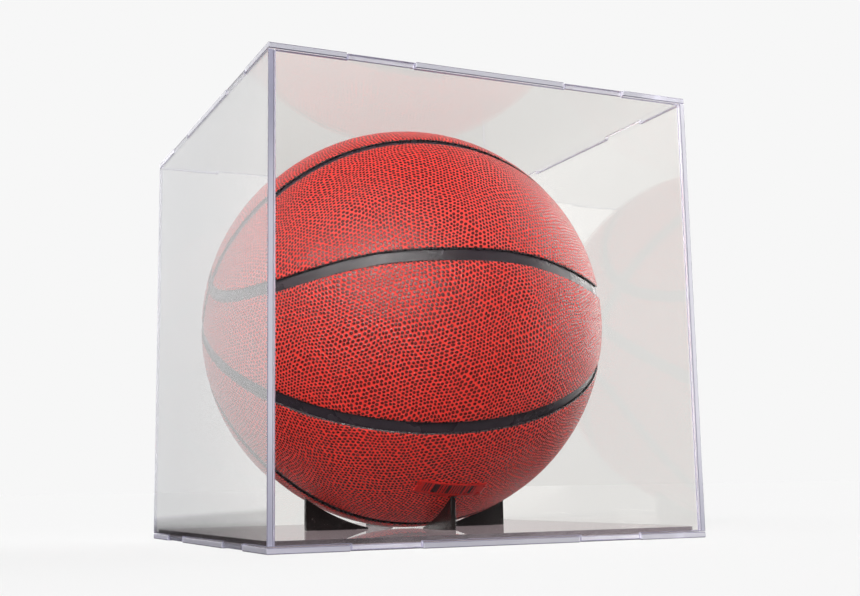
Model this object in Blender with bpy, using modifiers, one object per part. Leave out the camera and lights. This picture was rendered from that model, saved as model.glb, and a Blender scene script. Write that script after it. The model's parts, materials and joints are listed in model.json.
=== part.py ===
"""Clear cube display case holding one full-size basketball.

The case is a base of two clear sheets with four black cradle ribs, and a
five-sided clear cover that lifts straight up off it.  The cover's walls
carry finger tabs that sit in notches in the top sheet and in the base sheet.

Metres, +Z up, front towards -Y.  The origin is the centre of the base's underside.
"""

from math import asin, atan2, cos, pi, radians, sin, sqrt

import bmesh
import bpy
from mathutils import Vector

# ---- driving dimensions ----------------------------------------------------

CASE_SIDE = 0.254
SHEET = 0.0032
JOINT_GAP = 0.0003
EDGE_BREAK = 0.0004
EDGE_BREAK_ANGLE = 40.0
MERGE_DISTANCE = 0.00001

TAB_LENGTH = 0.0385
TAB_FROM_CENTRE = 0.065
TAB_RECESS = 0.0005

LOCATING_SIDE = 0.246
LOCATING_SHEET = 0.0027
LOCATING_CHAMFER = 0.004

RIB_THICKNESS = 0.003
RIB_INNER_END = 0.026
RIB_OUTER_END = 0.0655
RIB_CURVE_RADIUS = 0.1124
RIB_CURVE_STEPS = 10
TENON_INNER_END = 0.034
TENON_OUTER_END = 0.058

BALL_RADIUS = 0.1218
BALL_CENTRE_HEIGHT = 0.1284
BALL_SEAM_TURN = (33.5, -1.9, -10.1)
CHANNEL_WIDTH = 0.0055
PANEL_SKIN = 0.0012
CARCASS_RADIUS = 0.1194
CARCASS_WALL = 0.0015
BLADDER_GAP = 0.0004
BLADDER_WALL = 0.001
SHELL_STEPS = 24
SHELL_RINGS = 12
END_PANEL_GRID = (14, 6)
SIDE_PANEL_GRID = (18, 4)

VALVE_HOLE_RADIUS = 0.0042
VALVE_RADIUS = 0.0038
VALVE_STANDS_OUT = 0.0002
NEEDLE_RADIUS = 0.0008
NEEDLE_DEPTH = 0.009
FLANGE_RADIUS = 0.008
FLANGE_THICKNESS = 0.0015
FLANGE_CLEARANCE = 0.0013
TAIL_LENGTH = 0.008
TAIL_TOP_RADIUS = 0.0034
TAIL_END_RADIUS = 0.003
TAIL_TAPER = 0.001

# The side seam is a closed curve round each end of the ball.  Its distance
# from the end, as an angle, is a mean plus two waves round the ball.
SEAM_MEAN = 57.7
SEAM_WAVE = 15.3
SEAM_RIPPLE = 2.3

LABEL_LENGTH = 0.044
LABEL_HEIGHT = 0.012
LABEL_LIFT = 0.0001
LABEL_SKIN = 0.00012
LABEL_DOWN = 55.0
LABEL_ROUND = -2.7
LABEL_TILT = 6.0
LABEL_GRID = (8, 2)

# ---- heights and places worked out from them -------------------------------

HALF_SIDE = CASE_SIDE / 2
WALL_BOTTOM = SHEET + JOINT_GAP
WALL_TOP = CASE_SIDE - SHEET - JOINT_GAP
WALL_CENTRE = HALF_SIDE - SHEET / 2
FRONT_WALL_HALF = HALF_SIDE - SHEET - JOINT_GAP
LOCATING_BOTTOM = SHEET + JOINT_GAP
LOCATING_TOP = LOCATING_BOTTOM + LOCATING_SHEET
RIB_BOTTOM = LOCATING_TOP + JOINT_GAP
TENON_BOTTOM = LOCATING_BOTTOM
RIB_REACH = BALL_RADIUS + JOINT_GAP
RIB_TOP = BALL_CENTRE_HEIGHT - sqrt(RIB_REACH ** 2 - RIB_OUTER_END ** 2)
RIB_CURVE_CENTRE = RIB_TOP + sqrt(RIB_CURVE_RADIUS ** 2 - RIB_OUTER_END ** 2)
CHANNEL_HALF_ANGLE = CHANNEL_WIDTH / 2 / BALL_RADIUS


# ---- helpers ---------------------------------------------------------------

def clear_scene():
    """Remove whatever the file holds."""
    for leftover in list(bpy.data.objects):
        bpy.data.objects.remove(leftover, do_unlink=True)


def make_material(name, colour, roughness, alpha=1.0):
    """A plain Principled finish."""
    material = bpy.data.materials.new(name)
    material.use_nodes = True
    shader = material.node_tree.nodes["Principled BSDF"]
    shader.inputs["Base Color"].default_value = (*colour, 1.0)
    shader.inputs["Roughness"].default_value = roughness
    shader.inputs["Metallic"].default_value = 0.0
    shader.inputs["Alpha"].default_value = alpha
    return material


def add_object(name, data, material, parent=None):
    """Link one named part into the case's collection."""
    part = bpy.data.objects.new(name, data)
    part.data.materials.clear()
    part.data.materials.append(material)
    part.parent = parent
    CASE.objects.link(part)
    return part


def add_empty(name, location, rotation=(0.0, 0.0, 0.0), parent=None):
    """An empty that carries the parts parented to it."""
    empty = bpy.data.objects.new(name, None)
    empty.location = location
    empty.rotation_euler = [radians(angle) for angle in rotation]
    empty.empty_display_size = 0.02
    empty.parent = parent
    CASE.objects.link(empty)
    return empty


def sheet_part(name, outlines, thickness, material, location, rotation=(0.0, 0.0, 0.0)):
    """A flat part cut from sheet: closed outlines, filled and extruded, edges broken."""
    curve = bpy.data.curves.new(name, "CURVE")
    curve.dimensions = "2D"
    curve.fill_mode = "BOTH"
    curve.extrude = thickness / 2
    for outline in outlines:
        spline = curve.splines.new("POLY")
        spline.points.add(len(outline) - 1)
        for point, (x, y) in zip(spline.points, outline):
            point.co = (x, y, 0.0, 1.0)
        spline.use_cyclic_u = True
    part = add_object(name, curve, material)
    part.location = location
    part.rotation_euler = [radians(angle) for angle in rotation]
    weld = part.modifiers.new("weld", "WELD")
    weld.merge_threshold = MERGE_DISTANCE
    bevel = part.modifiers.new("edge_break", "BEVEL")
    bevel.width = EDGE_BREAK
    bevel.segments = 1
    bevel.limit_method = "ANGLE"
    bevel.angle_limit = radians(EDGE_BREAK_ANGLE)
    return part


def turned_part(name, profile, material, parent, rotation):
    """A profile of (radius, height) points turned about its own Z axis."""
    mesh = bpy.data.meshes.new(name)
    edges = [(index, index + 1) for index in range(len(profile) - 1)]
    mesh.from_pydata([(radius, 0.0, height) for radius, height in profile], edges, [])
    part = add_object(name, mesh, material, parent)
    part.rotation_euler = [radians(angle) for angle in rotation]
    screw = part.modifiers.new("turn", "SCREW")
    screw.angle = 2 * pi
    screw.steps = SHELL_STEPS
    screw.render_steps = SHELL_STEPS
    screw.use_merge_vertices = True
    screw.merge_threshold = MERGE_DISTANCE
    screw.use_smooth_shade = True
    return part


# ---- case ------------------------------------------------------------------

def notched_square():
    """The outline of a full-size sheet with two tab notches in each side."""
    notch_depth = SHEET + JOINT_GAP
    notch_half = TAB_LENGTH / 2 + JOINT_GAP
    side = [(-HALF_SIDE, -HALF_SIDE)]
    for centre in (-TAB_FROM_CENTRE, TAB_FROM_CENTRE):
        side.append((centre - notch_half, -HALF_SIDE))
        side.append((centre - notch_half, -HALF_SIDE + notch_depth))
        side.append((centre + notch_half, -HALF_SIDE + notch_depth))
        side.append((centre + notch_half, -HALF_SIDE))
    outline = []
    for quarter in range(4):
        turn_cos = round(cos(quarter * pi / 2))
        turn_sin = round(sin(quarter * pi / 2))
        outline += [(x * turn_cos - y * turn_sin, x * turn_sin + y * turn_cos) for x, y in side]
    return outline


def wall_outline(half_width):
    """The outline of a wall, with two tabs up into the top and two down into the base."""
    tab_half = TAB_LENGTH / 2
    lower = [(-half_width, WALL_BOTTOM)]
    for centre in (-TAB_FROM_CENTRE, TAB_FROM_CENTRE):
        lower.append((centre - tab_half, WALL_BOTTOM))
        lower.append((centre - tab_half, TAB_RECESS))
        lower.append((centre + tab_half, TAB_RECESS))
        lower.append((centre + tab_half, WALL_BOTTOM))
    lower.append((half_width, WALL_BOTTOM))
    upper = [(x, CASE_SIDE - height) for x, height in reversed(lower)]
    return lower + upper


def build_cover(material):
    """Four walls and a top sheet, bonded to each other."""
    sheet_part("top_panel", [notched_square()], SHEET, material, (0.0, 0.0, CASE_SIDE - SHEET / 2))
    for name, facing in (("front_panel", -1), ("back_panel", 1)):
        place = (0.0, facing * WALL_CENTRE, 0.0)
        sheet_part(name, [wall_outline(FRONT_WALL_HALF)], SHEET, material, place, (90.0, 0.0, 0.0))
    for name, facing in (("left_panel", -1), ("right_panel", 1)):
        place = (facing * WALL_CENTRE, 0.0, 0.0)
        sheet_part(name, [wall_outline(HALF_SIDE)], SHEET, material, place, (90.0, 0.0, 90.0))


def chamfered_square(side, chamfer):
    """A square with its corners cut at 45 degrees."""
    outer = side / 2
    inner = outer - chamfer
    corner = [(inner, -outer), (outer, -inner)]
    outline = []
    for quarter in range(4):
        turn_cos = round(cos(quarter * pi / 2))
        turn_sin = round(sin(quarter * pi / 2))
        outline += [(x * turn_cos - y * turn_sin, x * turn_sin + y * turn_cos) for x, y in corner]
    return outline


def rib_slots():
    """Four through slots for the ribs' tenons."""
    near = TENON_INNER_END - JOINT_GAP
    far = TENON_OUTER_END + JOINT_GAP
    half_width = RIB_THICKNESS / 2 + JOINT_GAP
    slots = []
    for quarter in range(4):
        turn_cos = round(cos(quarter * pi / 2))
        turn_sin = round(sin(quarter * pi / 2))
        corners = [(near, -half_width), (far, -half_width), (far, half_width), (near, half_width)]
        slots.append([(x * turn_cos - y * turn_sin, x * turn_sin + y * turn_cos) for x, y in corners])
    return slots


def rib_outline():
    """A rib's side view: flat underside with a tenon, and a hollow top edge under the ball."""
    outline = [
        (RIB_INNER_END, RIB_BOTTOM),
        (TENON_INNER_END, RIB_BOTTOM),
        (TENON_INNER_END, TENON_BOTTOM),
        (TENON_OUTER_END, TENON_BOTTOM),
        (TENON_OUTER_END, RIB_BOTTOM),
        (RIB_OUTER_END, RIB_BOTTOM),
    ]
    outer_angle = asin(RIB_OUTER_END / RIB_CURVE_RADIUS)
    inner_angle = asin(RIB_INNER_END / RIB_CURVE_RADIUS)
    for step in range(RIB_CURVE_STEPS + 1):
        angle = outer_angle + (inner_angle - outer_angle) * step / RIB_CURVE_STEPS
        height = RIB_CURVE_CENTRE - RIB_CURVE_RADIUS * cos(angle)
        outline.append((RIB_CURVE_RADIUS * sin(angle), height))
    return outline


def build_base(clear, black):
    """The base sheet, the locating sheet on it, and the four ribs that cradle the ball."""
    sheet_part("base_plate", [notched_square()], SHEET, clear, (0.0, 0.0, SHEET / 2))
    outlines = [chamfered_square(LOCATING_SIDE, LOCATING_CHAMFER)] + rib_slots()
    place = (0.0, 0.0, LOCATING_BOTTOM + LOCATING_SHEET / 2)
    sheet_part("locating_plate", outlines, LOCATING_SHEET, clear, place)
    for quarter, name in enumerate(("rib_right", "rib_back", "rib_left", "rib_front")):
        turn = (90.0, 0.0, quarter * 90.0)
        sheet_part(name, [rib_outline()], RIB_THICKNESS, black, (0.0, 0.0, 0.0), turn)


# ---- ball ------------------------------------------------------------------
# The ball's own frame has Z towards one end of the ball, the long seam in the
# plane Y = 0, the middle seam in the plane Z = 0, and the valve on +X.

def ball_point(around, from_end, radius=BALL_RADIUS):
    """A point on the ball from its angle round Z and its angle away from Z."""
    x = sin(from_end) * cos(around)
    y = sin(from_end) * sin(around)
    return Vector((x, y, cos(from_end))) * radius


def side_seam(around):
    """The side seam's angle away from Z."""
    return radians(SEAM_MEAN + SEAM_WAVE * cos(2 * around) + SEAM_RIPPLE * cos(4 * around))


def channel_margin(around):
    """Half the channel, measured away from Z where the side seam runs aslant."""
    climb = -2 * SEAM_WAVE * sin(2 * around) - 4 * SEAM_RIPPLE * sin(4 * around)
    slant = radians(climb) / sin(side_seam(around))
    return CHANNEL_HALF_ANGLE * sqrt(1 + slant ** 2)


def end_panel_point(across, outward):
    """A point of an end panel, from its corner-to-corner and seam-to-seam fractions."""
    corner_from_end = side_seam(0.0) - CHANNEL_HALF_ANGLE
    corner_around = asin(sin(CHANNEL_HALF_ANGLE) / sin(corner_from_end))
    around = pi - corner_around - across * (pi - 2 * corner_around)
    curved_edge = ball_point(around, side_seam(around) - channel_margin(around))
    corner = ball_point(corner_around, side_seam(corner_around) - channel_margin(corner_around))
    sweep = atan2(corner.x, corner.z) * cos(around) / cos(corner_around)
    straight_edge = Vector((sin(sweep), 0.0, cos(sweep))) * cos(CHANNEL_HALF_ANGLE)
    straight_edge.y = sin(CHANNEL_HALF_ANGLE)
    return straight_edge.slerp(curved_edge.normalized(), outward, straight_edge) * BALL_RADIUS


def side_panel_point(across, outward):
    """A point of a side panel, between the middle seam and the side seam."""
    corner_around = asin(sin(CHANNEL_HALF_ANGLE) / sin(side_seam(0.0)))
    around = corner_around + across * (pi - 2 * corner_around)
    straight_edge = pi / 2 - CHANNEL_HALF_ANGLE
    curved_edge = side_seam(around) + channel_margin(around)
    return ball_point(around, straight_edge + outward * (curved_edge - straight_edge))


def panel_mesh(name, grid_size, point_at):
    """A grid laid onto the ball by a function of its two fractions."""
    mesh = bpy.data.meshes.new(name)
    columns, rows = grid_size
    grid = bmesh.new()
    bmesh.ops.create_grid(grid, x_segments=columns, y_segments=rows, size=1.0)
    for vertex in grid.verts:
        vertex.co = point_at((vertex.co.x + 1) / 2, (vertex.co.y + 1) / 2)
    bmesh.ops.remove_doubles(grid, verts=grid.verts, dist=MERGE_DISTANCE)
    grid.to_mesh(mesh)
    grid.free()
    mesh.shade_smooth()
    return mesh


def add_skin(part, thickness, offset):
    """Give an open surface its thickness."""
    solidify = part.modifiers.new("skin", "SOLIDIFY")
    solidify.thickness = thickness
    solidify.offset = offset
    solidify.use_even_offset = True


def shell_profile(outer_radius, wall):
    """The profile of a hollow sphere with the valve hole at its top."""
    profile = []
    inner_radius = outer_radius - wall
    inner_rim = asin(VALVE_HOLE_RADIUS / inner_radius)
    outer_rim = asin(VALVE_HOLE_RADIUS / outer_radius)
    for step in range(SHELL_RINGS + 1):
        angle = pi + (inner_rim - pi) * step / SHELL_RINGS
        profile.append((abs(inner_radius * sin(angle)), inner_radius * cos(angle)))
    for step in range(SHELL_RINGS + 1):
        angle = outer_rim + (pi - outer_rim) * step / SHELL_RINGS
        profile.append((abs(outer_radius * sin(angle)), outer_radius * cos(angle)))
    profile[0] = (0.0, -inner_radius)
    profile[-1] = (0.0, -outer_radius)
    return profile


def valve_profile(carcass_radius, bladder_inner_radius):
    """The valve: a rubber plug with a needle hole, and a flange inside the bladder."""
    top = carcass_radius + VALVE_STANDS_OUT
    hole_floor = top - NEEDLE_DEPTH
    flange_top = bladder_inner_radius - FLANGE_CLEARANCE
    flange_foot = flange_top - FLANGE_THICKNESS
    tail = flange_top - TAIL_LENGTH
    return [
        (0.0, hole_floor - NEEDLE_RADIUS),
        (NEEDLE_RADIUS, hole_floor),
        (NEEDLE_RADIUS, top - NEEDLE_RADIUS),
        (2 * NEEDLE_RADIUS, top),
        (VALVE_RADIUS, top),
        (VALVE_RADIUS, flange_top),
        (FLANGE_RADIUS, flange_top),
        (FLANGE_RADIUS, flange_foot),
        (TAIL_TOP_RADIUS, flange_foot - TAIL_TAPER),
        (TAIL_END_RADIUS, tail),
        (0.0, tail - TAIL_TAPER),
    ]


def label_point(along, up):
    """A point of the label, on the side of the ball that faces -Y."""
    x = (along - 0.5) * LABEL_LENGTH
    z = (up - 0.5) * LABEL_HEIGHT
    toward = Vector((x, -BALL_RADIUS, z)).normalized()
    return toward * (BALL_RADIUS + LABEL_LIFT)


def build_ball(leather, rubber, butyl, paper):
    """Bladder, carcass, valve, eight panels and a label, round the axis the ball turns on."""
    axis = add_empty("ball_axis", (0.0, 0.0, BALL_CENTRE_HEIGHT))
    seams = add_empty("ball_seams", (0.0, 0.0, 0.0), BALL_SEAM_TURN, axis)
    valve_turn = (0.0, 90.0, 0.0)
    bladder_radius = CARCASS_RADIUS - CARCASS_WALL - BLADDER_GAP
    carcass_profile = shell_profile(CARCASS_RADIUS, CARCASS_WALL)
    turned_part("ball_carcass", carcass_profile, rubber, seams, valve_turn)
    bladder_profile = shell_profile(bladder_radius, BLADDER_WALL)
    turned_part("ball_bladder", bladder_profile, butyl, seams, valve_turn)
    stem_profile = valve_profile(CARCASS_RADIUS, bladder_radius - BLADDER_WALL)
    turned_part("ball_valve", stem_profile, rubber, seams, valve_turn)

    end_mesh = panel_mesh("end_panel", END_PANEL_GRID, end_panel_point)
    side_mesh = panel_mesh("side_panel", SIDE_PANEL_GRID, side_panel_point)
    half_turns = ((0.0, 0.0, 0.0), (0.0, 0.0, 180.0), (180.0, 0.0, 0.0), (0.0, 180.0, 0.0))
    for number, turn in enumerate(half_turns, start=1):
        for kind, mesh in (("end", end_mesh), ("side", side_mesh)):
            panel = add_object(f"ball_{kind}_panel_{number}", mesh, leather, seams)
            panel.rotation_euler = [radians(angle) for angle in turn]
            add_skin(panel, PANEL_SKIN, -1.0)

    label_mesh = panel_mesh("label", LABEL_GRID, label_point)
    label = add_object("ball_label", label_mesh, paper, axis)
    label.rotation_mode = "ZXY"
    label.rotation_euler = [radians(LABEL_DOWN), radians(LABEL_TILT), radians(LABEL_ROUND)]
    add_skin(label, LABEL_SKIN, 1.0)


clear_scene()
CASE = bpy.data.collections.new("ball_display_case")
bpy.context.scene.collection.children.link(CASE)

clear_acrylic = make_material("clear_acrylic", (0.90, 0.90, 0.93), 0.04, alpha=0.3)
black_acrylic = make_material("black_acrylic", (0.03, 0.02, 0.025), 0.15)
pebbled_leather = make_material("pebbled_leather", (0.62, 0.05, 0.03), 0.45)
black_rubber = make_material("black_rubber", (0.02, 0.018, 0.022), 0.5)
butyl_rubber = make_material("butyl_rubber", (0.03, 0.03, 0.03), 0.6)
printed_film = make_material("printed_film", (0.55, 0.06, 0.05), 0.35)

build_base(clear_acrylic, black_acrylic)
build_cover(clear_acrylic)
build_ball(pebbled_leather, black_rubber, butyl_rubber, printed_film)
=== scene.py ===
import json
from math import asin, atan2, cos, pi, radians, sin, sqrt

import bmesh
import bpy
from mathutils import Matrix, Vector


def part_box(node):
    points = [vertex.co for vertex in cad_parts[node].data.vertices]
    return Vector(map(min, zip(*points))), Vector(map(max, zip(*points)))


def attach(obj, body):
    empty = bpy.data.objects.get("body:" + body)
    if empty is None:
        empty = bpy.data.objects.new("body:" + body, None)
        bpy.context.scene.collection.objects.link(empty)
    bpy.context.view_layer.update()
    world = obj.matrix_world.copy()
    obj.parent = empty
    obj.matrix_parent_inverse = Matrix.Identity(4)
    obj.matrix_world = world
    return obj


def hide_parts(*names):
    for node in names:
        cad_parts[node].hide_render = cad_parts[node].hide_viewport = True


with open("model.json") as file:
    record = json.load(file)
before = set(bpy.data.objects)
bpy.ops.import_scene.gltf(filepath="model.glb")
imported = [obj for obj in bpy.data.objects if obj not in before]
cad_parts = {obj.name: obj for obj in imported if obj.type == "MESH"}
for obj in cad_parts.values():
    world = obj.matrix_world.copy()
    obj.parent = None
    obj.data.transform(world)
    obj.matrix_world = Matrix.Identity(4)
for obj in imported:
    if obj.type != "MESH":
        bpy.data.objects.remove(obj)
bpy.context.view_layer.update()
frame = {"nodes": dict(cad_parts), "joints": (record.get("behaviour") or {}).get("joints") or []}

# ---- base sheet --------------------------------------------------------------
# The bottom of the case: a square of clear cast acrylic, laser cut with two
# notches in each edge for the cover's tabs.  Faces stay as polished as the sheet
# came, while the cut edges are slightly matt, with fine marks of the cut.

base_low, base_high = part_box("base_plate")
CASE_SIDE = base_high.x - base_low.x
HALF_SIDE = CASE_SIDE / 2
SHEET = base_high.z - base_low.z
JOINT_GAP = 0.0003
TAB_LENGTH = 0.0385
TAB_FROM_CENTRE = 0.065
EDGE_ROUND = 0.0005
EDGE_SEGMENTS = 3
SHARP_ANGLE = radians(20)
FACE_SLOT, EDGE_SLOT, ARRIS_SLOT = range(3)
FACE_FLATNESS = 0.999
EDGE_FLATNESS = 0.01
QUARTER_TURNS = [Matrix.Rotation(quarter * pi / 2, 2) for quarter in range(4)]


def notched_square():
    """Once round the sheet: each side has two notches as deep as a wall is thick."""
    notch = TAB_LENGTH / 2 + JOINT_GAP
    floor = -HALF_SIDE + SHEET + JOINT_GAP
    side = [Vector((-HALF_SIDE, -HALF_SIDE))]
    for centre in (-TAB_FROM_CENTRE, TAB_FROM_CENTRE):
        side.append(Vector((centre - notch, -HALF_SIDE)))
        side.append(Vector((centre - notch, floor)))
        side.append(Vector((centre + notch, floor)))
        side.append(Vector((centre + notch, -HALF_SIDE)))
    return [turn @ corner for turn in QUARTER_TURNS for corner in side]


def cut_sheet(name, outline, thickness, place, edge_round=EDGE_ROUND, holes=()):
    """Cut an outline from sheet, round its edges, and tell its faces, edges and arrises apart."""
    shape = bmesh.new()
    rim = []
    for loop in [outline, *holes]:
        corners = [shape.verts.new((x, y, -thickness / 2)) for x, y in loop]
        rim += [shape.edges.new((corners[i - 1], corners[i])) for i in range(len(corners))]
    bmesh.ops.triangle_fill(shape, use_beauty=True, use_dissolve=True, edges=rim)
    grown = bmesh.ops.extrude_face_region(shape, geom=shape.faces[:])
    top = [item for item in grown["geom"] if isinstance(item, bmesh.types.BMVert)]
    bmesh.ops.translate(shape, verts=top, vec=(0, 0, thickness))
    bmesh.ops.recalc_face_normals(shape, faces=shape.faces)
    sharp = [edge for edge in shape.edges if edge.calc_face_angle(0) > SHARP_ANGLE]
    bmesh.ops.bevel(shape, geom=sharp, offset=edge_round, affect="EDGES", segments=EDGE_SEGMENTS,
                    profile=0.5, material=-1, clamp_overlap=True)
    for face in shape.faces:
        flatness = abs(face.normal.z)
        if flatness > FACE_FLATNESS:
            face.material_index = FACE_SLOT
        elif flatness < EDGE_FLATNESS:
            face.material_index = EDGE_SLOT
        else:
            face.material_index = ARRIS_SLOT
    return add_piece(name, shape, place)


def add_piece(name, shape, place=Matrix.Identity(4), smooth=False):
    """Make a finished shape a named piece of the scene, with its place in its mesh."""
    bmesh.ops.transform(shape, matrix=place, verts=shape.verts)
    mesh = bpy.data.meshes.new(name)
    shape.to_mesh(mesh)
    shape.free()
    if smooth:
        mesh.shade_smooth()
    piece = bpy.data.objects.new(name, mesh)
    bpy.context.scene.collection.objects.link(piece)
    return piece


class Wire:
    """A socket's value: plain arithmetic on it adds Math nodes to its material."""

    def __init__(self, tree, socket):
        self.tree = tree
        self.socket = socket

    @staticmethod
    def node(tree, kind, settings=None, inputs=None):
        """Any node, by its type, its settings and what goes into its sockets."""
        made = tree.nodes.new("ShaderNode" + kind)
        for name, value in (settings or {}).items():
            setattr(made, name, value)
        for name, value in (inputs or {}).items():
            socket = made.inputs[name]
            if isinstance(value, Wire):
                tree.links.new(value.socket, socket)
            elif isinstance(value, tuple) and len(value) == 3 and socket.type == "RGBA":
                socket.default_value = (*value, 1.0)
            else:
                socket.default_value = value
        return made

    def out(self, made, name):
        """One output of a node, as a wire."""
        return Wire(self.tree, made.outputs[name])

    def math(self, operation, *others):
        """A Math node on this value and up to two others."""
        inputs = dict(enumerate((self, *others)))
        return self.out(Wire.node(self.tree, "Math", {"operation": operation}, inputs), 0)

    def __add__(self, other):
        return self.math("ADD", other)

    __radd__ = __add__

    def __mul__(self, other):
        return self.math("MULTIPLY", other)

    __rmul__ = __mul__

    def __sub__(self, other):
        return self.math("SUBTRACT", other)

    def __rsub__(self, other):
        return -1.0 * self + other

    def __truediv__(self, other):
        return self.math("DIVIDE", other)

    def __pow__(self, other):
        return self.math("POWER", other)

    def ramp(self, low, high, start=0.0, end=1.0):
        """Smoothly from start to end as the value goes from low to high."""
        settings = {"interpolation_type": "SMOOTHSTEP"}
        inputs = {"Value": self, "From Min": low, "From Max": high, "To Min": start, "To Max": end}
        return self.out(Wire.node(self.tree, "MapRange", settings, inputs), 0)


class Finish:
    """A material being built: its Principled shader and the patterns that feed it."""

    def __init__(self, name, **uniform):
        self.material = bpy.data.materials.new(name)
        self.material.use_nodes = True
        self.tree = self.material.node_tree
        self.shader = self.tree.nodes["Principled BSDF"]
        for socket, value in uniform.items():
            target = self.shader.inputs[socket.replace("_", " ")]
            target.default_value = (*value, 1.0) if isinstance(value, tuple) else value

    def add(self, kind, settings=None, inputs=None):
        """A node of this material, by its type, settings and sockets."""
        return Wire.node(self.tree, kind, settings, inputs)

    def wire(self, made, name=0):
        """One output of a node of this material."""
        return Wire(self.tree, made.outputs[name])

    def place(self):
        """Where a point is on the case, in metres."""
        return self.wire(self.add("TexCoord"), "Object")

    def axes(self, vector):
        """The three numbers of a vector."""
        split = self.add("SeparateXYZ", None, {0: vector})
        return [self.wire(split, axis) for axis in "XYZ"]

    def noise(self, vector, scale, detail=2.0, roughness=0.5):
        """Soft cloudy values round one half."""
        inputs = {"Vector": vector, "Scale": scale, "Detail": detail, "Roughness": roughness}
        return self.wire(self.add("TexNoise", None, inputs), 0)

    def feed(self, socket, wire):
        """Drive one of the shader's varying sockets."""
        self.tree.links.new(wire.socket, self.shader.inputs[socket])

    def vector(self, operation, *inputs):
        """A Vector Math node on two vectors."""
        return self.wire(self.add("VectorMath", {"operation": operation}, dict(enumerate(inputs))))

    def bump(self, height, distance):
        """Raise the surface by a height that is worth so many metres."""
        inputs = {"Height": height, "Distance": distance}
        self.feed("Normal", self.wire(self.add("Bump", None, inputs), "Normal"))

    def mix(self, share, first, second):
        """A colour between two others."""
        colour_sockets = {0: share, 6: first, 7: second}
        return self.wire(self.add("Mix", {"data_type": "RGBA"}, colour_sockets), 2)


ACRYLIC_BENDING = 1.49
FAINT_MIRROR_BENDING = 1.2
# Painted glow: the tint of the glow that clear sheet faces may be given, though they are no lamps.
PAINTED_GLOW_TINT = (1.0, 0.80, 0.85)
WARM_HEAD_ON = (0.960, 0.952, 0.938)
CLEAR_HEAD_ON = (0.975, 0.970, 0.960)
PALE_SLANTED = (0.90, 0.89, 0.88)


def acrylic_face(name, slanted, bending=ACRYLIC_BENDING, painted_glow=0.0):
    """Polished sheet: almost colourless head on, and tinted where it is looked at on the slant, with a
    painted glow where one is given, though the sheet is no lamp.
    """
    finish = Finish(name, Transmission_Weight=1.0, IOR=bending, Emission_Strength=painted_glow,
                    Emission_Color=PAINTED_GLOW_TINT)
    place = finish.place()
    tone = finish.noise(place, 6.0)
    head_on = finish.mix(tone, WARM_HEAD_ON, CLEAR_HEAD_ON)
    facing = finish.wire(finish.add("LayerWeight", None, {"Blend": 0.5}), "Facing")
    finish.feed("Base Color", finish.mix(facing.ramp(0.60, 0.80), head_on, slanted))
    haze = finish.noise(place, 28.0, 4.0, 0.65)
    finish.feed("Roughness", haze.ramp(0.55, 0.8, 0.004, 0.03))
    return finish.material


def acrylic_edge(name, dull, bright, clearness, painted_glow):
    """A cut edge with painted light and shade: its dull and bright tints and its painted glow are laid
    on by place, lighter above its foot and towards the right, least at its foot and top left, with some
    random tone.
    """
    finish = Finish(name, Transmission_Weight=clearness, IOR=ACRYLIC_BENDING, Emission_Strength=painted_glow)
    place = finish.place()
    across, _, up = finish.axes(place)
    # Painted light: lighter towards the right, with painted shade at the foot and top left; tone mixes
    # random cloud with this painted light.
    right = across.ramp(-0.12, 0.10)
    painted_shade_top_left = up.ramp(0.16, 0.22) * (1.0 - right)
    painted_light = up.ramp(0.0, 0.07) * (1.0 - painted_shade_top_left) * (right * 0.2 + 0.8)
    tone = finish.noise(place, 18.0, 3.0) * 0.3 + painted_light * 0.3 + right * 0.4
    finish.feed("Base Color", finish.mix(tone, dull, bright))
    finish.feed("Emission Color", finish.mix(painted_light, (0.06, 0.06, 0.12), (1.0, 0.98, 1.0)))
    marks = finish.noise(place, 900.0, 2.0)
    finish.feed("Roughness", marks.ramp(0.3, 0.7, 0.06, 0.16))
    finish.bump(marks, 0.00004)
    return finish.material


BASE_FINISH = acrylic_face("clear_acrylic_base", PALE_SLANTED, FAINT_MIRROR_BENDING)
# Painted light and shade: the cut edges are lit and shaded copies of one finish, the arrises darker and
# bluer than the base sheet's edges.
BASE_EDGE = acrylic_edge("acrylic_base_edge", (0.54, 0.53, 0.62), (0.96, 0.95, 1.0), 0.45, 0.0)
ARRIS_FINISH = acrylic_edge("acrylic_arris", (0.34, 0.32, 0.42), (0.50, 0.48, 0.58), 0.45, 0.0)


def clear_piece(piece, body, node, *finishes):
    """Finish a clear sheet, which casts no shadow, tie it to its body and let it stand for its node."""
    for finish in finishes:
        piece.data.materials.append(finish)
    piece.visible_shadow = False
    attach(piece, body)
    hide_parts(node)


base_place = Matrix.Translation((0, 0, (base_low.z + base_high.z) / 2))
base_sheet = cut_sheet("base_sheet", notched_square(), SHEET, base_place)
clear_piece(base_sheet, "base", "base_plate", BASE_FINISH, BASE_EDGE, ARRIS_FINISH)


# ---- locating sheet ----------------------------------------------------------
# A smaller, thinner clear sheet lying on the base sheet.  It centres the cover
# and has four slots that the ribs' tenons are pressed into.

locating_low, locating_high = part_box("locating_plate")
LOCATING_SHEET = locating_high.z - locating_low.z
LOCATING_HALF = locating_high.x
LOCATING_CHAMFER = 0.004
LOCATING_EDGE_ROUND = 0.0001
RIB_THICKNESS = 0.003
TENON_INNER_END = 0.034
TENON_OUTER_END = 0.058
# Painted glow: the locating sheet's faces shine faintly, though the sheet is no lamp.
BED_PAINTED_GLOW = 0.09
BED_FINISH = acrylic_face("clear_acrylic_bed", PALE_SLANTED, FAINT_MIRROR_BENDING, BED_PAINTED_GLOW)
# Painted shade: the locating sheet's clear cut edges are near black.
SHADED_BED_EDGE = acrylic_edge("acrylic_painted_shade_edge", (0.02, 0.015, 0.018), (0.44, 0.40, 0.43), 0.6, 0.0)


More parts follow.
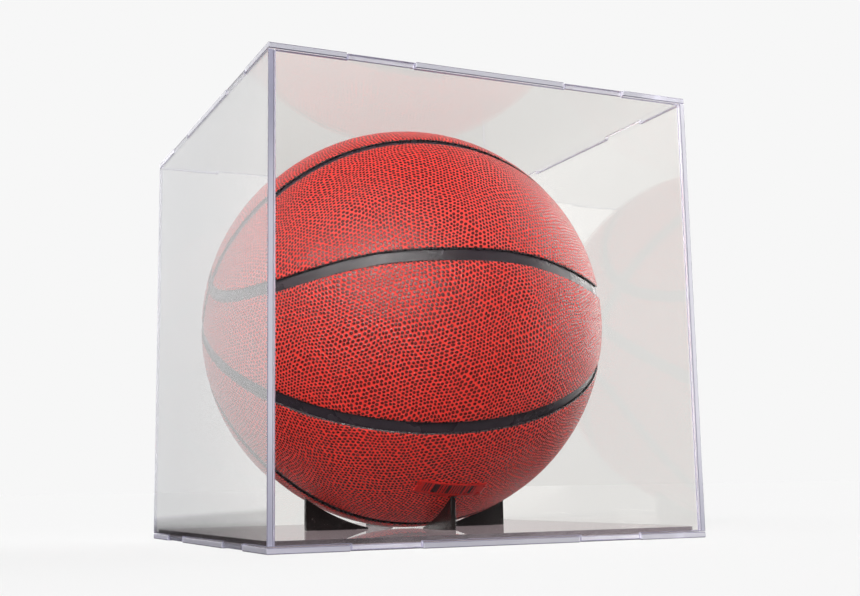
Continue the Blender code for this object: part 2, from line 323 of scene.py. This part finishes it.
def chamfered_square():
    """A square with its corners cut at 45 degrees."""
    inner = LOCATING_HALF - LOCATING_CHAMFER
    corner = [Vector((inner, -LOCATING_HALF)), Vector((LOCATING_HALF, -inner))]
    return [turn @ point for turn in QUARTER_TURNS for point in corner]


def tenon_slots():
    """The four slots, one on each side of the centre."""
    near = TENON_INNER_END - JOINT_GAP
    far = TENON_OUTER_END + JOINT_GAP
    wide = RIB_THICKNESS / 2 + JOINT_GAP
    slot = [Vector((near, -wide)), Vector((far, -wide)), Vector((far, wide)), Vector((near, wide))]
    return [[turn @ corner for corner in slot] for turn in QUARTER_TURNS]


locating_place = Matrix.Translation((0, 0, (locating_low.z + locating_high.z) / 2))
locating_sheet = cut_sheet("locating_sheet", chamfered_square(), LOCATING_SHEET, locating_place,
                           LOCATING_EDGE_ROUND, tenon_slots())
clear_piece(locating_sheet, "base", "locating_plate", BED_FINISH, SHADED_BED_EDGE, SHADED_BED_EDGE)


# ---- ribs --------------------------------------------------------------------
# Four ribs of gloss black acrylic stand on edge in a plus.  Their hollow top
# edges rise outwards, so that the ball rests on them near their outer ends.

rib_low, rib_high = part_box("rib_right")
RIB_INNER_END = rib_low.x
RIB_OUTER_END = rib_high.x
RIB_TOP = rib_high.z
RIB_FOOT_GAP = 0.00002
RIB_FOOT = locating_high.z + RIB_FOOT_GAP
RIB_CURVE_RADIUS = 0.1124
RIB_CURVE_CENTRE = RIB_TOP + sqrt(RIB_CURVE_RADIUS ** 2 - RIB_OUTER_END ** 2)
RIB_CURVE_STEPS = 28


def rib_outline():
    """Flat foot with its tenon, upright outer end, hollow top."""
    outline = [
        (RIB_INNER_END, RIB_FOOT),
        (TENON_INNER_END, RIB_FOOT),
        (TENON_INNER_END, rib_low.z),
        (TENON_OUTER_END, rib_low.z),
        (TENON_OUTER_END, RIB_FOOT),
        (RIB_OUTER_END, RIB_FOOT),
    ]
    start = asin(RIB_OUTER_END / RIB_CURVE_RADIUS)
    end = asin(RIB_INNER_END / RIB_CURVE_RADIUS)
    for step in range(RIB_CURVE_STEPS + 1):
        angle = start + (end - start) * step / RIB_CURVE_STEPS
        across = RIB_CURVE_RADIUS * sin(angle)
        outline.append((across, RIB_CURVE_CENTRE - RIB_CURVE_RADIUS * cos(angle)))
    return outline


def black_acrylic():
    """Opaque gloss black, with specks of dust and patches that are a little less glossy."""
    finish = Finish("black_acrylic", IOR=ACRYLIC_BENDING)
    place = finish.place()
    dust = finish.noise(place, 420.0, 3.0, 0.7).ramp(0.62, 0.8)
    finish.feed("Base Color", finish.mix(dust, (0.006, 0.004, 0.004), (0.045, 0.034, 0.034)))
    finish.feed("Roughness", finish.noise(place, 60.0, 3.0).ramp(0.35, 0.7, 0.10, 0.24))
    return finish.material


RIB_BLACK = black_acrylic()
UPRIGHT = Matrix.Rotation(pi / 2, 4, "X")
for quarter, side in enumerate(("right", "back", "left", "front")):
    turned = Matrix.Rotation(quarter * pi / 2, 4, "Z") @ UPRIGHT
    rib = cut_sheet(f"cradle_rib_{side}", rib_outline(), RIB_THICKNESS, turned)
    rib.data.materials.append(RIB_BLACK)
    rib.data.polygons.foreach_set("material_index", [FACE_SLOT] * len(rib.data.polygons))
    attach(rib, "base")
    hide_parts(f"rib_{side}")


# ---- cover -------------------------------------------------------------------
# Four walls and a top, cut from the same clear sheet and solvent bonded along
# their edges.  The side walls run the full depth, the front and back stand
# between them, and every wall has tabs that sit in the top's and base's notches.

top_low, top_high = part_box("top_panel")
TAB_RECESS = 0.0005
# Painted shade: the top's slanted tint is darker than the front's, though it is the same sheet.
TOP_FINISH = acrylic_face("clear_acrylic_top", (0.74, 0.73, 0.72), FAINT_MIRROR_BENDING)
# Painted glow: the top's cut edges shine faintly though they are no lamp, a lit copy of the cut-edge
# finish.
TOP_EDGE = acrylic_edge("acrylic_top_edge", (0.78, 0.77, 0.85), (0.70, 0.69, 0.77), 0.35, 0.08)
FRONT_FINISH = acrylic_face("clear_acrylic", PALE_SLANTED)
# Painted shade: the side walls' slanted tint is far darker than the front's, dimming what shows through
# them.
SIDE_FINISH = acrylic_face("clear_acrylic_side", (0.245, 0.25, 0.27))
# Painted glow, stronger, on the walls' cut edges, another lit copy of the cut-edge finish.
WALL_EDGE = acrylic_edge("acrylic_edge", (0.42, 0.41, 0.53), (0.84, 0.83, 0.92), 0.35, 0.19)


def wall_outline(half_width):
    """A wall with two tabs up and two tabs down, the same both ways up."""
    tab = TAB_LENGTH / 2
    foot = SHEET + JOINT_GAP
    lower = [(-half_width, foot)]
    for centre in (-TAB_FROM_CENTRE, TAB_FROM_CENTRE):
        lower.append((centre - tab, foot))
        lower.append((centre - tab, TAB_RECESS))
        lower.append((centre + tab, TAB_RECESS))
        lower.append((centre + tab, foot))
    lower.append((half_width, foot))
    upper = [(x, top_high.z - height) for x, height in reversed(lower)]
    return lower + upper


top_place = Matrix.Translation((0, 0, (top_low.z + top_high.z) / 2))
top_sheet = cut_sheet("top_sheet", notched_square(), SHEET, top_place)
clear_piece(top_sheet, "cover", "top_panel", TOP_FINISH, TOP_EDGE, ARRIS_FINISH)
for turn, side in enumerate(("front", "right", "back", "left")):
    low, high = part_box(f"{side}_panel")
    runs_deep = turn % 2
    half_width = (high - low)[runs_deep] / 2
    wall_place = Matrix.Translation((low + high) / 2 * Vector((1, 1, 0)))
    wall_turn = Matrix.Rotation(turn * pi / 2, 4, "Z") @ UPRIGHT
    wall = cut_sheet(f"{side}_wall", wall_outline(half_width), SHEET, wall_place @ wall_turn)
    face_finish = SIDE_FINISH if runs_deep else FRONT_FINISH
    clear_piece(wall, "cover", f"{side}_panel", face_finish, WALL_EDGE, ARRIS_FINISH)


# ---- ball: carcass, bladder and valve ----------------------------------------
# Under the leather is a moulded black rubber carcass, which shows as the floor
# of every channel.  It holds a butyl bladder, and a rubber valve passes through
# both where two seams cross on the far side.

BALL_RADIUS = 0.1218
ball_turn = next(joint for joint in frame["joints"] if joint["name"] == "ball_turn")
BALL_CENTRE = Vector(ball_turn["pos_m"])
BALL_SEAM_TURN = (33.5, -1.9, -10.1)
CHANNEL_DEPTH = 0.0013
CARCASS_RADIUS = BALL_RADIUS - CHANNEL_DEPTH
CARCASS_WALL = 0.0015
VALVE_HOLE_RADIUS = 0.0042
SPIN_STEPS = 128
SHELL_RINGS = 72
SPIN_MERGE = 0.000001
SPUN_SHARP_ANGLE = radians(40)
tip, lean, swing = (radians(angle) for angle in BALL_SEAM_TURN)
BALL_PLACE = (Matrix.Translation(BALL_CENTRE) @ Matrix.Rotation(swing, 4, "Z")
              @ Matrix.Rotation(lean, 4, "Y") @ Matrix.Rotation(tip, 4, "X"))


def spun(name, profile, steps=SPIN_STEPS):
    """Spin a profile of (distance along X, radius) once round the X axis, as part of the ball."""
    shape = bmesh.new()
    points = [shape.verts.new((along, 0, radius)) for along, radius in profile]
    lines = [shape.edges.new(pair) for pair in zip(points, points[1:])]
    bmesh.ops.spin(shape, geom=points + lines, cent=(0, 0, 0), axis=(1, 0, 0), angle=2 * pi,
                   steps=steps, use_merge=True)
    bmesh.ops.remove_doubles(shape, verts=shape.verts, dist=SPIN_MERGE)
    bmesh.ops.recalc_face_normals(shape, faces=shape.faces)
    piece = add_piece(name, shape, BALL_PLACE, smooth=True)
    piece.data.set_sharp_from_angle(angle=SPUN_SHARP_ANGLE)
    return piece


def shell_profile(radius, wall):
    """A hollow ball with the valve hole on +X: out along the outside, back along the inside."""
    profile = []
    for shell, sweep in ((radius, (0, 1)), (radius - wall, (1, 0))):
        rim = asin(VALVE_HOLE_RADIUS / shell)
        for step in range(SHELL_RINGS + 1):
            share = sweep[0] + (sweep[1] - sweep[0]) * step / SHELL_RINGS
            angle = rim + (pi - rim) * share
            profile.append((shell * cos(angle), max(shell * sin(angle), 0.0)))
    return profile


def moulded_rubber():
    """Black rubber with a fine moulded grain, in places glossier than in others."""
    finish = Finish("channel_rubber", IOR=1.5)
    place = finish.place()
    cloud = finish.noise(place, 90.0, 3.0)
    finish.feed("Base Color", finish.mix(cloud, (0.010, 0.007, 0.010), (0.032, 0.024, 0.032)))
    finish.feed("Roughness", finish.noise(place, 34.0, 3.0, 0.6).ramp(0.35, 0.65, 0.20, 0.42))
    finish.bump(finish.noise(place, 2600.0), 0.00003)
    return finish.material


CHANNEL_RUBBER = moulded_rubber()
carcass = spun("rubber_carcass", shell_profile(CARCASS_RADIUS, CARCASS_WALL))
carcass.data.materials.append(CHANNEL_RUBBER)
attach(carcass, "ball")
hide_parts("ball_carcass")

VALVE_TOP = CARCASS_RADIUS - 0.0003
VALVE_RADIUS = 0.0038
VALVE_STEPS = 48
NEEDLE_RADIUS = 0.0008
FLANGE_RADIUS = 0.0079
TAIL_TOP_RADIUS = 0.0034
TAIL_END_RADIUS = 0.0030
valve_profile = [
    (VALVE_TOP - 0.010, 0.0),
    (VALVE_TOP - 0.009, NEEDLE_RADIUS),
    (VALVE_TOP - 0.0007, NEEDLE_RADIUS),
    (VALVE_TOP - 0.0002, NEEDLE_RADIUS + 0.0003),
    (VALVE_TOP, NEEDLE_RADIUS + 0.0008),
    (VALVE_TOP, VALVE_RADIUS - 0.0004),
    (VALVE_TOP - 0.0004, VALVE_RADIUS),
    (VALVE_TOP - 0.0050, VALVE_RADIUS),
    (VALVE_TOP - 0.0054, FLANGE_RADIUS),
    (VALVE_TOP - 0.0070, FLANGE_RADIUS),
    (VALVE_TOP - 0.0078, TAIL_TOP_RADIUS),
    (VALVE_TOP - 0.0130, TAIL_END_RADIUS),
    (VALVE_TOP - 0.0142, 0.0),
]
valve = spun("needle_valve", valve_profile, VALVE_STEPS)
valve.data.materials.append(CHANNEL_RUBBER)
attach(valve, "ball")
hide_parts("ball_valve")


def bladder_butyl():
    """Matt grey-black butyl, a little cloudy."""
    finish = Finish("bladder_butyl", Roughness=0.6)
    cloud = finish.noise(finish.place(), 40.0, 3.0)
    finish.feed("Base Color", finish.mix(cloud, (0.02, 0.02, 0.02), (0.05, 0.05, 0.05)))
    return finish.material


bladder = frame["nodes"]["ball_bladder"]
bladder.data.materials.clear()
bladder.data.materials.append(bladder_butyl())


# ---- ball: eight leather panels ----------------------------------------------
# Four end panels and four side panels of pebbled composite leather are bonded
# onto the carcass, with a channel left between them.  The long seam and the
# middle seam are great circles, and a side seam bows round each end.

CHANNEL_WIDTH = 0.0062
PANEL_SKIN = 0.0010
PANEL_SHOULDER = 0.0022
SHOULDER_DROP = 0.00045
PANEL_MERGE = 0.0001
LIP_ROUND = 0.0006
LIP_SEGMENTS = 3
LIP_ANGLE = radians(50)
ROW_GATHERING = 0.65
GRAIN_LEAN = Vector((0.3, -0.2, 1))
NEAR_NOUGHT = 0.0001
SEAM_MEAN = 57.7
SEAM_WAVE = 15.3
SEAM_RIPPLE = 2.3
CHANNEL_HALF_ANGLE = CHANNEL_WIDTH / 2 / BALL_RADIUS


def on_ball(around, from_end):
    """The direction at an angle round the ball's end and an angle away from it."""
    return Vector((sin(from_end) * cos(around), sin(from_end) * sin(around), cos(from_end)))


def side_seam(around):
    """How far the side seam is from the end: so many degrees, give or take a wave and a ripple."""
    return radians(SEAM_MEAN + SEAM_WAVE * cos(2 * around) + SEAM_RIPPLE * cos(4 * around))


def channel_margin(around):
    """Half a channel, measured away from the end where the seam runs aslant."""
    climb = -2 * SEAM_WAVE * sin(2 * around) - 4 * SEAM_RIPPLE * sin(4 * around)
    slant = radians(climb) / sin(side_seam(around))
    return CHANNEL_HALF_ANGLE * sqrt(1 + slant ** 2)


def end_panel(across, outward):
    """A point of an end panel, between the long seam and the side seam."""
    corner_around = asin(sin(CHANNEL_HALF_ANGLE) / sin(side_seam(0) - CHANNEL_HALF_ANGLE))
    around = pi - corner_around - across * (pi - 2 * corner_around)
    curved = on_ball(around, side_seam(around) - channel_margin(around))
    corner = on_ball(corner_around, side_seam(corner_around) - channel_margin(corner_around))
    sweep = atan2(corner.x, corner.z) * cos(around) / cos(corner_around)
    straight = Vector((sin(sweep), 0, cos(sweep))) * cos(CHANNEL_HALF_ANGLE)
    straight.y = sin(CHANNEL_HALF_ANGLE)
    return straight.slerp(curved, outward, straight)


def side_panel(across, outward):
    """A point of a side panel, between the middle seam and the side seam."""
    corner_around = asin(sin(CHANNEL_HALF_ANGLE) / sin(side_seam(0)))
    around = corner_around + across * (pi - 2 * corner_around)
    middle = pi / 2 - CHANNEL_HALF_ANGLE
    curved = side_seam(around) + channel_margin(around)
    return on_ball(around, middle + outward * (curved - middle))


def eased(share):
    """A share that moves slowly near both ends, so rows gather at the seams."""
    return (1 - ROW_GATHERING) * share + ROW_GATHERING * (0.5 - 0.5 * cos(pi * share))


def leather_panel(name, columns, rows, point_at, centre, place):
    """One panel: a grid laid on the ball, dropped at its rim, with its grain laid flat as UVs."""
    shape = bmesh.new()
    bmesh.ops.create_grid(shape, x_segments=columns, y_segments=rows, size=1)
    for vertex in shape.verts:
        across = eased((vertex.co.x + 1) / 2)
        outward = eased((vertex.co.y + 1) / 2)
        vertex.co = point_at(across, outward)
    bmesh.ops.remove_doubles(shape, verts=shape.verts, dist=PANEL_MERGE)
    rim = [vertex.co.copy() for vertex in shape.verts if vertex.is_boundary]
    grain = shape.loops.layers.uv.new("grain")
    along_rows = centre.cross(GRAIN_LEAN).normalized()
    over_rows = centre.cross(along_rows)
    for face in shape.faces:
        for loop in face.loops:
            point = loop.vert.co
            away = centre.angle(point, 0)
            spread = BALL_RADIUS * away / max(sin(away), NEAR_NOUGHT)
            loop[grain].uv = (point.dot(along_rows) * spread, point.dot(over_rows) * spread)
    to_rim = shape.verts.layers.float.new("to_rim")
    for vertex in shape.verts:
        vertex[to_rim] = min((vertex.co - point).length for point in rim) * BALL_RADIUS
    for vertex in shape.verts:
        drop = SHOULDER_DROP * max(0, 1 - vertex[to_rim] / PANEL_SHOULDER) ** 2
        vertex.co = vertex.co.normalized() * (BALL_RADIUS - drop)
    panel = add_piece(name, shape, place, smooth=True)
    skin = panel.modifiers.new("skin", "SOLIDIFY")
    skin.thickness = PANEL_SKIN
    skin.offset = -1
    lip = panel.modifiers.new("lip", "BEVEL")
    lip.width = LIP_ROUND
    lip.segments = LIP_SEGMENTS
    lip.limit_method = "ANGLE"
    lip.angle_limit = LIP_ANGLE
    return panel


CHANNEL_BLACK = (0.014, 0.010, 0.012)
RED_FROM_RIM = (0.0006, 0.0009)
RIM_RAGGEDNESS = 0.0004
PEBBLE_PITCH = 0.0024
PEBBLE_RADIUS = 0.385
PEBBLE_SPREAD = 0.05
PEBBLE_RAGGEDNESS = 0.07
PEBBLE_STRAY = 0.26
PEBBLE_HEIGHT = 0.00022
ROW_BEND = 0.009
ROW_HEIGHT = sqrt(3) / 2


def pebbled_leather():
    """Dark flat-topped pebbles in bending rows, sized in shares of their pitch, in a red net."""
    finish = Finish("pebbled_leather", IOR=1.5, Specular_IOR_Level=0.65)
    grain = finish.wire(finish.add("UVMap", {"uv_map": "grain"}))
    cloud = {"Vector": grain, "Scale": 26.0, "Detail": 1.5}
    bend = finish.wire(finish.add("TexNoise", {"noise_dimensions": "2D"}, cloud), "Color")
    bend = finish.vector("SUBTRACT", bend, (0.5, 0.5, 0.5))
    grain = finish.vector("ADD", grain, finish.vector("MULTIPLY", bend, (ROW_BEND, ROW_BEND, 0.0)))
    across, up, _ = finish.axes(grain)
    row = up / (ROW_HEIGHT * PEBBLE_PITCH)
    column = across / PEBBLE_PITCH - 0.5 * row
    lattice = finish.wire(finish.add("CombineXYZ", None, {"X": column, "Y": row}))
    inputs = {"Vector": lattice, "Scale": 1.0, "Randomness": PEBBLE_STRAY}
    cells = finish.add("TexVoronoi", {"voronoi_dimensions": "2D"}, inputs)
    home_column, home_row, _ = finish.axes(finish.wire(cells, "Position"))
    off_row = row - home_row
    off_column = column - home_column + 0.5 * off_row
    reach = (off_column * off_column + off_row * off_row * ROW_HEIGHT ** 2) ** 0.5
    ragged = finish.noise(grain, 700.0, 1.0)
    tint = finish.axes(finish.wire(cells, "Color"))[0]
    size = PEBBLE_RADIUS + (tint - 0.5) * PEBBLE_SPREAD + (ragged - 0.5) * PEBBLE_RAGGEDNESS
    pebble = (reach / size).ramp(0.78, 1.2, 1.0, 0.0)
    place = finish.place()
    wear = finish.noise(place, 30.0, 3.0)
    red = finish.mix(wear, (0.68, 0.012, 0.004), (0.76, 0.020, 0.007))
    dark = finish.mix(tint, (0.052, 0.006, 0.006), (0.085, 0.012, 0.011))
    leather = finish.mix(pebble, red, dark)
    to_rim = finish.wire(finish.add("Attribute", {"attribute_name": "to_rim"}), "Fac")
    field = (to_rim + (ragged - 0.5) * RIM_RAGGEDNESS).ramp(*RED_FROM_RIM)
    finish.feed("Base Color", finish.mix(field, CHANNEL_BLACK, leather))
    finish.feed("Roughness", 0.56 - pebble * 0.33 + wear * 0.06)
    finish.bump((reach / size).ramp(0.55, 1.45, 1.0, 0.0) * field, PEBBLE_HEIGHT)
    return finish.material


LEATHER = pebbled_leather()
HALF_TURNS = [Matrix.Identity(4)] + [Matrix.Rotation(pi, 4, axis) for axis in "ZXY"]
KINDS = (
    ("end", 64, 26, end_panel, on_ball(pi / 2, radians(26))),
    ("side", 84, 20, side_panel, on_ball(pi / 2, radians(66))),
)
for number, half_turn in enumerate(HALF_TURNS, start=1):
    panel_place = BALL_PLACE @ half_turn
    for kind, columns, rows, point_at, centre in KINDS:
        panel_name = f"{kind}_leather_{number}"
        panel = leather_panel(panel_name, columns, rows, point_at, centre, panel_place)
        panel.data.materials.append(LEATHER)
        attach(panel, "ball")
        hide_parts(f"ball_{kind}_panel_{number}")


# ---- stock label -------------------------------------------------------------
# A small printed film label stuck low on the front of the ball: a red ground
# with plain dark bars of a few widths, which encode nothing.

LABEL_LENGTH = 0.044
LABEL_HEIGHT = 0.012
LABEL_LIFT = 0.0001
LABEL_SKIN = 0.00012
BAR_PLACES = 56.0
BAR_SKIPS = 0.12
ODD_BAR_SKIPS = 1.3
LABEL_TURN = (Matrix.Rotation(radians(-2.7), 4, "Z") @ Matrix.Rotation(radians(55.0), 4, "X")
              @ Matrix.Rotation(radians(6.0), 4, "Y"))


def label_film():
    """Satin film printed with dark bars, the bars kept clear of its margins."""
    finish = Finish("printed_film", IOR=1.5, Specular_IOR_Level=0.2)
    across, up, _ = finish.axes(finish.wire(finish.add("UVMap", {"uv_map": "print"})))
    column = (across * BAR_PLACES).math("FLOOR")
    draw = finish.add("TexWhiteNoise", {"noise_dimensions": "1D"}, {"W": column})
    skips = (column * 0.5).math("FRACT") * ODD_BAR_SKIPS + BAR_SKIPS
    bar = finish.wire(draw, "Value").math("GREATER_THAN", skips)
    inside = across.ramp(0.08, 0.085) * (1.0 - across.ramp(0.84, 0.845))
    inside = inside * up.ramp(0.20, 0.23) * (1.0 - up.ramp(0.84, 0.87))
    cloud = finish.noise(finish.place(), 160.0, 3.0)
    ground = finish.mix(cloud, (0.36, 0.012, 0.010), (0.46, 0.020, 0.016))
    finish.feed("Base Color", finish.mix(bar * inside, ground, (0.03, 0.012, 0.014)))
    finish.feed("Roughness", cloud.ramp(0.3, 0.7, 0.25, 0.4))
    return finish.material


def label_patch():
    """A rectangle bent to the ball."""
    shape = bmesh.new()
    bmesh.ops.create_grid(shape, x_segments=32, y_segments=8, size=0.5)
    printed = shape.loops.layers.uv.new("print")
    for face in shape.faces:
        for loop in face.loops:
            loop[printed].uv = (loop.vert.co.x + 0.5, loop.vert.co.y + 0.5)
    for vertex in shape.verts:
        x = vertex.co.x * LABEL_LENGTH
        z = vertex.co.y * LABEL_HEIGHT
        vertex.co = Vector((x, -BALL_RADIUS, z)).normalized() * (BALL_RADIUS + LABEL_LIFT)
    label_place = Matrix.Translation(BALL_CENTRE) @ LABEL_TURN
    return add_piece("stock_label", shape, label_place, smooth=True)


label = label_patch()
label.data.materials.append(label_film())
film = label.modifiers.new("film", "SOLIDIFY")
film.thickness = LABEL_SKIN
film.offset = 1
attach(label, "ball")
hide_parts("ball_label")


# ---- studio ------------------------------------------------------------------
# A plain pale floor that runs out to the backdrop, and soft light all round.  The
# surround is bright behind the case and dims overhead and behind the viewer,
# which is what gives clear sheet its shape, and four soft lamps light the ball.

BACKDROP = 0.93
FLOOR_WIDTH = 60.0
FLOOR_DROP = 0.0004
FLOOR_GREY = (0.226, 0.226, 0.226)
FLOOR_GLOW = 0.66


def looked_through(tree):
    """One where only clear sheet is in the viewer's way, nought after a reflection or scattering."""
    path = Wire.node(tree, "LightPath")
    seen, passed, soft_turns, gloss_turns = (
        Wire(tree, path.outputs[name])
        for name in ("Is Camera Ray", "Is Transmission Ray", "Diffuse Depth", "Glossy Depth"))
    return seen + passed * (soft_turns + gloss_turns).math("LESS_THAN", 0.5)


def floor_paint():
    """Even and pale to look at, but dark in reflections, except behind the case and to its right."""
    finish = Finish("floor_paint", Roughness=0.8, Specular_IOR_Level=0.0,
                    Emission_Strength=FLOOR_GLOW)
    east, north, _ = finish.axes(finish.place())
    open_floor = looked_through(finish.tree)
    far_side = (north + east * 0.5).ramp(-0.1, 0.15)
    far_right = far_side * (north * 0.6 + east).ramp(0.08, 0.28)
    reflected_grey = finish.mix(far_right, (0.02, 0.02, 0.02), (0.50, 0.50, 0.50))
    finish.feed("Base Color", finish.mix(open_floor, reflected_grey, FLOOR_GREY))
    rear_left = (north + east * 0.3).ramp(0.15, 0.5) * (1.0 - east.ramp(-0.1, 0.1))
    reflected_glow = finish.mix(rear_left, (0.0, 0.0, 0.0), (0.8, 0.8, 0.8))
    right_side = far_side * (east - north * 0.2).ramp(0.2, 0.6)
    reflected_glow = finish.mix(right_side, reflected_glow, (1.2, 1.2, 1.2))
    finish.feed("Emission Color", finish.mix(open_floor, reflected_glow, (1.0, 1.0, 1.0)))
    return finish.material


floor_shape = bmesh.new()
bmesh.ops.create_grid(floor_shape, x_segments=8, y_segments=8, size=FLOOR_WIDTH / 2)
floor = add_piece("studio_floor", floor_shape, Matrix.Translation((0, 0, -FLOOR_DROP)))
floor.data.materials.append(floor_paint())

world = bpy.data.worlds.new("studio")
world.use_nodes = True
bpy.context.scene.world = world
tree = world.node_tree
toward = Wire(tree, Wire.node(tree, "TexCoord").outputs["Generated"])
split = Wire.node(tree, "SeparateXYZ", None, {0: toward})
east, north, up = (Wire(tree, split.outputs[axis]) for axis in "XYZ")


def soft_lamp(way, rim, core, level):
    """Light from one direction: nothing outside the lamp's rim, its full level in its core."""
    made = Wire.node(tree, "VectorMath", {"operation": "DOT_PRODUCT"}, {0: toward, 1: way})
    return Wire(tree, made.outputs["Value"]).ramp(rim, core, 0.0, level)


def surround():
    """The light from all round: brightest behind, most of all well up to the rear left."""
    behind = north.ramp(-0.35, 0.25, 0.04, 1.0) * up.ramp(-0.05, 0.30, 0.62, 0.76)
    rear_left = north.ramp(0.2, 0.6) * (1.0 - east.ramp(-0.50, -0.34))
    around = behind + rear_left * up.ramp(-0.02, 0.28, -0.25, 0.95)
    overhead = up.ramp(0.12, 0.85, 0.0, 0.08)
    return around * up.ramp(0.5, 0.85, 1.0, 0.10) + overhead


left_lamp = soft_lamp((-0.700, -0.490, 0.520), rim=0.86, core=0.93, level=6.8)
left_lamp = left_lamp * up.ramp(0.36, 0.46) * (1.0 - up.ramp(0.58, 0.68))
front_lamp = soft_lamp((-0.455, -0.790, 0.410), rim=0.84, core=0.95, level=5.2)
rear_lamp = soft_lamp((-0.200, 0.975, 0.100), rim=0.927, core=0.988, level=0.56)
right_lamp = soft_lamp((0.970, 0.170, 0.170), rim=0.74, core=0.95, level=3.2)
studio_light = surround() + left_lamp + front_lamp + rear_lamp + right_lamp
straight = looked_through(tree)
brightness = straight * BACKDROP + (1.0 - straight) * studio_light
background = tree.nodes["Background"]
background.inputs["Color"].default_value = (1, 1, 1, 1)
tree.links.new(brightness.socket, background.inputs["Strength"])

VIEW_FROM = (-0.30029, -0.69592, 0.03056)
VIEW_HEADING = radians(-24.600)
VIEW_TILT = radians(90 + 8.774)
VIEW_ROLL = radians(-1.009)
VIEW_LENS = 51.189
VIEW_FILM_WIDTH = 36
VIEW_REACH = 200
view = bpy.data.cameras.new("view")
view.sensor_width = VIEW_FILM_WIDTH
view.lens = VIEW_LENS
view.clip_end = VIEW_REACH
camera = bpy.data.objects.new("view", view)
bpy.context.scene.collection.objects.link(camera)
camera.matrix_world = (Matrix.Translation(VIEW_FROM) @ Matrix.Rotation(VIEW_HEADING, 4, "Z")
                       @ Matrix.Rotation(VIEW_TILT, 4, "X") @ Matrix.Rotation(VIEW_ROLL, 4, "Z"))
bpy.context.scene.camera = camera
bpy.context.scene.view_settings.view_transform = "Standard"
